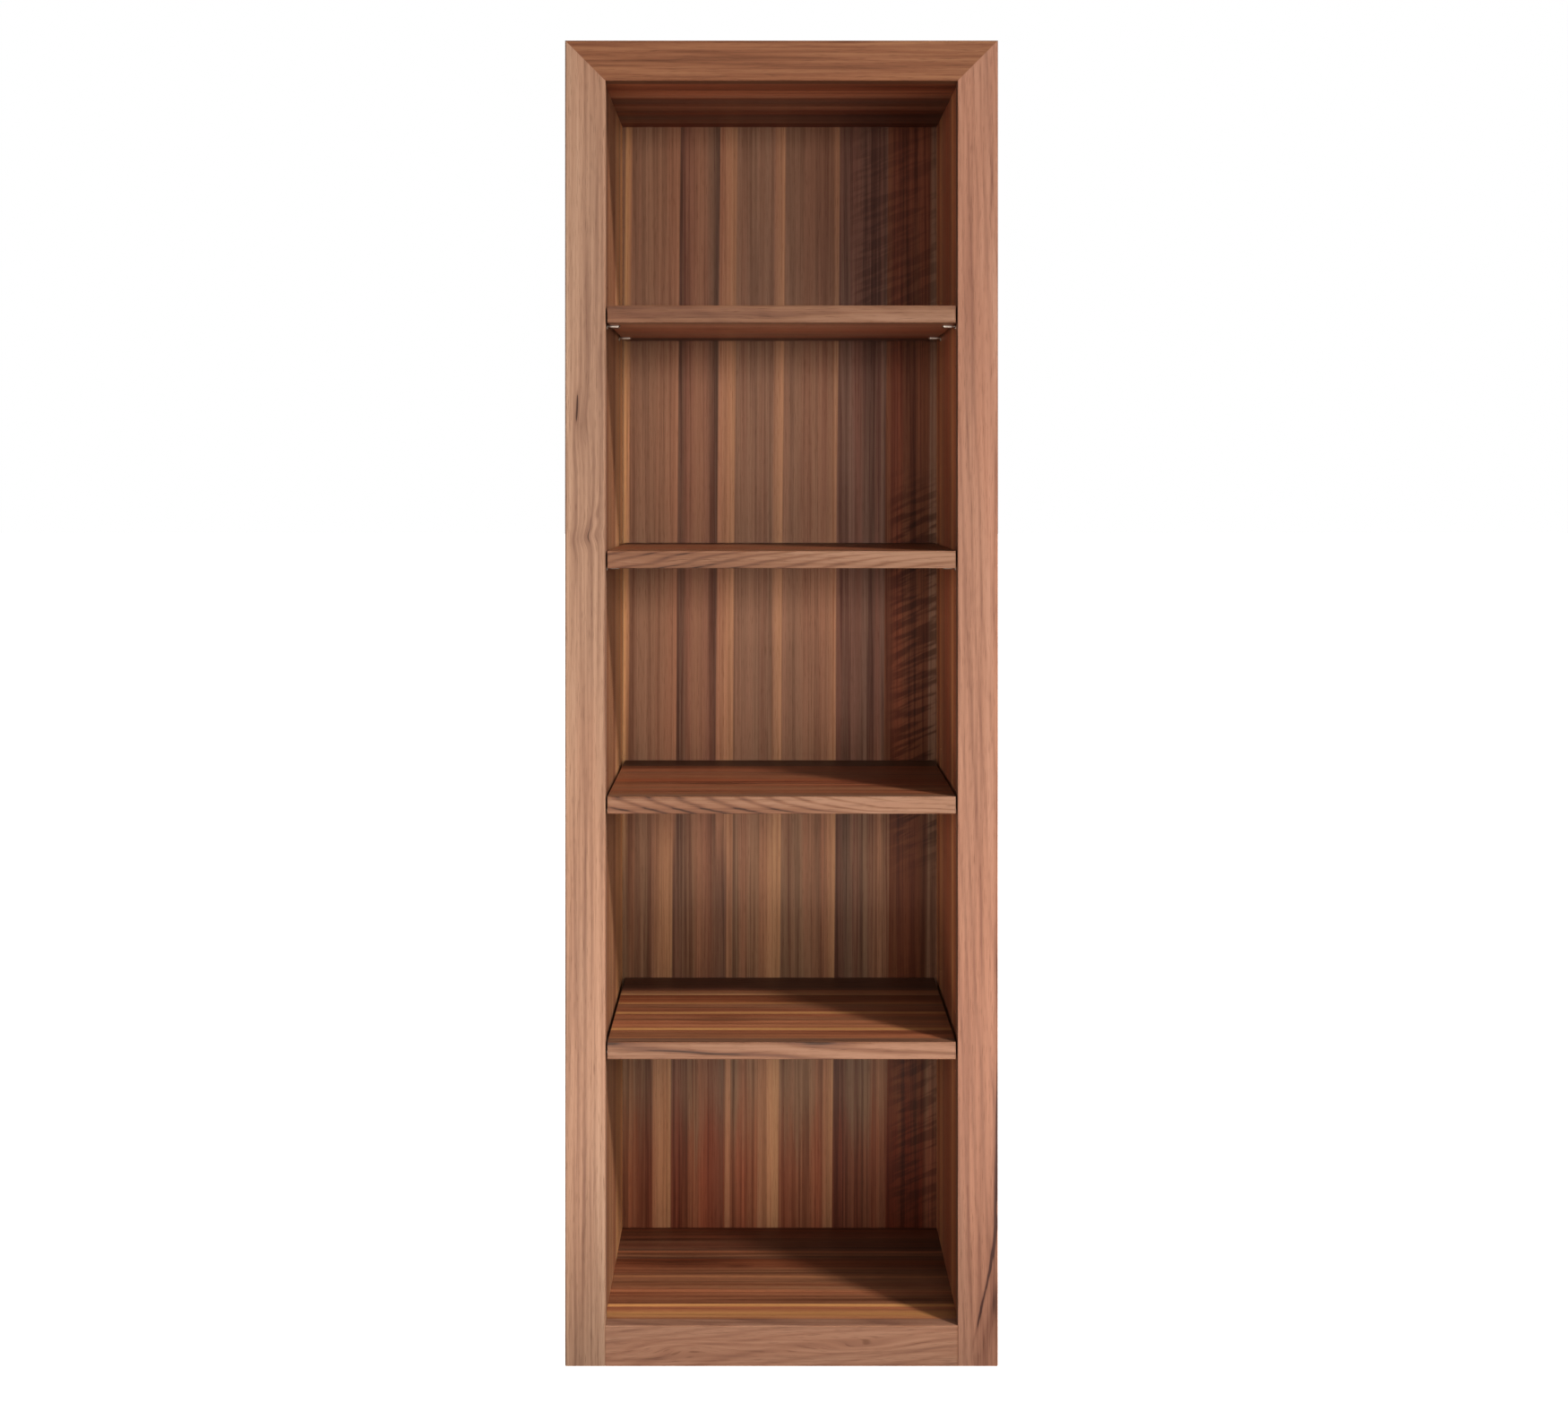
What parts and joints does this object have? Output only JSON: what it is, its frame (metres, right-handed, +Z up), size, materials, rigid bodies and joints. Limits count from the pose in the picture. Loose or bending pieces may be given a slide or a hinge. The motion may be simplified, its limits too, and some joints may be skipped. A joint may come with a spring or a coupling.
{
  "type": "bookcase with adjustable shelves",
  "caption": "Tall narrow walnut bookcase with a mitred face frame, built-up sides, a fixed deck and adjustable shelves resting on metal spoon pins.",
  "frame": {"origin": "on the floor, at the centre of the plan", "axes": "+Z up, +X to the right seen from the front, -Y towards the front"},
  "size_m": [0.697, 0.356, 2.134],
  "materials": {
    "solid_walnut": "satin",
    "veneered_panel": "satin",
    "core_wood": "matte",
    "nickel": "bright",
    "zinc_steel": "satin"
  },
  "bodies": {
    "case": {"left_stile": "solid_walnut", "right_stile": "solid_walnut", "top_rail": "solid_walnut", "bottom_rail": "solid_walnut", "left_outer_side": "veneered_panel", "left_inner_side": "veneered_panel", "right_outer_side": "veneered_panel", "right_inner_side": "veneered_panel", "outer_top": "veneered_panel", "soffit": "veneered_panel", "deck": "veneered_panel", "back_panel": "veneered_panel", "left_side_battens": "core_wood", "left_stile_tongues": "core_wood", "right_side_battens": "core_wood", "right_stile_tongues": "core_wood", "top_battens": "core_wood", "base_rear_rail": "core_wood", "base_bearers": "core_wood", "top_rail_tongue": "core_wood", "bottom_rail_tongue": "core_wood", "mitre_splines": "core_wood", "bottom_rail_dowels": "core_wood", "case_dowels": "core_wood", "back_screws": "zinc_steel", "bracket_screws": "zinc_steel", "anti_tip_bracket": "zinc_steel"},
    "shelf_1": {"shelf_1_panel": "veneered_panel", "shelf_1_edge": "solid_walnut"},
    "shelf_2": {"shelf_2_panel": "veneered_panel", "shelf_2_edge": "solid_walnut"},
    "shelf_3": {"shelf_3_panel": "veneered_panel", "shelf_3_edge": "solid_walnut"},
    "shelf_4": {"shelf_4_panel": "veneered_panel", "shelf_4_edge": "solid_walnut"},
    "shelf_1_pin_front_left": {"shelf_1_pin_front_left": "nickel"},
    "shelf_1_pin_front_right": {"shelf_1_pin_front_right": "nickel"},
    "shelf_1_pin_rear_left": {"shelf_1_pin_rear_left": "nickel"},
    "shelf_1_pin_rear_right": {"shelf_1_pin_rear_right": "nickel"},
    "shelf_2_pin_front_left": {"shelf_2_pin_front_left": "nickel"},
    "shelf_2_pin_front_right": {"shelf_2_pin_front_right": "nickel"},
    "shelf_2_pin_rear_left": {"shelf_2_pin_rear_left": "nickel"},
    "shelf_2_pin_rear_right": {"shelf_2_pin_rear_right": "nickel"},
    "shelf_3_pin_front_left": {"shelf_3_pin_front_left": "nickel"},
    "shelf_3_pin_front_right": {"shelf_3_pin_front_right": "nickel"},
    "shelf_3_pin_rear_left": {"shelf_3_pin_rear_left": "nickel"},
    "shelf_3_pin_rear_right": {"shelf_3_pin_rear_right": "nickel"},
    "shelf_4_pin_front_left": {"shelf_4_pin_front_left": "nickel"},
    "shelf_4_pin_front_right": {"shelf_4_pin_front_right": "nickel"},
    "shelf_4_pin_rear_left": {"shelf_4_pin_rear_left": "nickel"},
    "shelf_4_pin_rear_right": {"shelf_4_pin_rear_right": "nickel"}
  },
  "joints": [
    {"name": "shelf_1_lift", "type": "slide", "parent": "case", "child": "shelf_1", "axis": [0, 0, 1], "range_m": [0, 0.35]},
    {"name": "shelf_2_lift", "type": "slide", "parent": "case", "child": "shelf_2", "axis": [0, 0, 1], "range_m": [0, 0.35]},
    {"name": "shelf_3_lift", "type": "slide", "parent": "case", "child": "shelf_3", "axis": [0, 0, 1], "range_m": [0, 0.35]},
    {"name": "shelf_4_lift", "type": "slide", "parent": "case", "child": "shelf_4", "axis": [0, 0, 1], "range_m": [0, 0.35]},
    {"name": "shelf_1_pin_front_left_pull", "type": "slide", "parent": "case", "child": "shelf_1_pin_front_left", "axis": [1, 0, 0], "range_m": [0, 0.01]},
    {"name": "shelf_1_pin_front_right_pull", "type": "slide", "parent": "case", "child": "shelf_1_pin_front_right", "axis": [-1, 0, 0], "range_m": [0, 0.01]},
    {"name": "shelf_1_pin_rear_left_pull", "type": "slide", "parent": "case", "child": "shelf_1_pin_rear_left", "axis": [1, 0, 0], "range_m": [0, 0.01]},
    {"name": "shelf_1_pin_rear_right_pull", "type": "slide", "parent": "case", "child": "shelf_1_pin_rear_right", "axis": [-1, 0, 0], "range_m": [0, 0.01]},
    {"name": "shelf_2_pin_front_left_pull", "type": "slide", "parent": "case", "child": "shelf_2_pin_front_left", "axis": [1, 0, 0], "range_m": [0, 0.01]},
    {"name": "shelf_2_pin_front_right_pull", "type": "slide", "parent": "case", "child": "shelf_2_pin_front_right", "axis": [-1, 0, 0], "range_m": [0, 0.01]},
    {"name": "shelf_2_pin_rear_left_pull", "type": "slide", "parent": "case", "child": "shelf_2_pin_rear_left", "axis": [1, 0, 0], "range_m": [0, 0.01]},
    {"name": "shelf_2_pin_rear_right_pull", "type": "slide", "parent": "case", "child": "shelf_2_pin_rear_right", "axis": [-1, 0, 0], "range_m": [0, 0.01]},
    {"name": "shelf_3_pin_front_left_pull", "type": "slide", "parent": "case", "child": "shelf_3_pin_front_left", "axis": [1, 0, 0], "range_m": [0, 0.01]},
    {"name": "shelf_3_pin_front_right_pull", "type": "slide", "parent": "case", "child": "shelf_3_pin_front_right", "axis": [-1, 0, 0], "range_m": [0, 0.01]},
    {"name": "shelf_3_pin_rear_left_pull", "type": "slide", "parent": "case", "child": "shelf_3_pin_rear_left", "axis": [1, 0, 0], "range_m": [0, 0.01]},
    {"name": "shelf_3_pin_rear_right_pull", "type": "slide", "parent": "case", "child": "shelf_3_pin_rear_right", "axis": [-1, 0, 0], "range_m": [0, 0.01]},
    {"name": "shelf_4_pin_front_left_pull", "type": "slide", "parent": "case", "child": "shelf_4_pin_front_left", "axis": [1, 0, 0], "range_m": [0, 0.01]},
    {"name": "shelf_4_pin_front_right_pull", "type": "slide", "parent": "case", "child": "shelf_4_pin_front_right", "axis": [-1, 0, 0], "range_m": [0, 0.01]},
    {"name": "shelf_4_pin_rear_left_pull", "type": "slide", "parent": "case", "child": "shelf_4_pin_rear_left", "axis": [1, 0, 0], "range_m": [0, 0.01]},
    {"name": "shelf_4_pin_rear_right_pull", "type": "slide", "parent": "case", "child": "shelf_4_pin_rear_right", "axis": [-1, 0, 0], "range_m": [0, 0.01]}
  ]
}
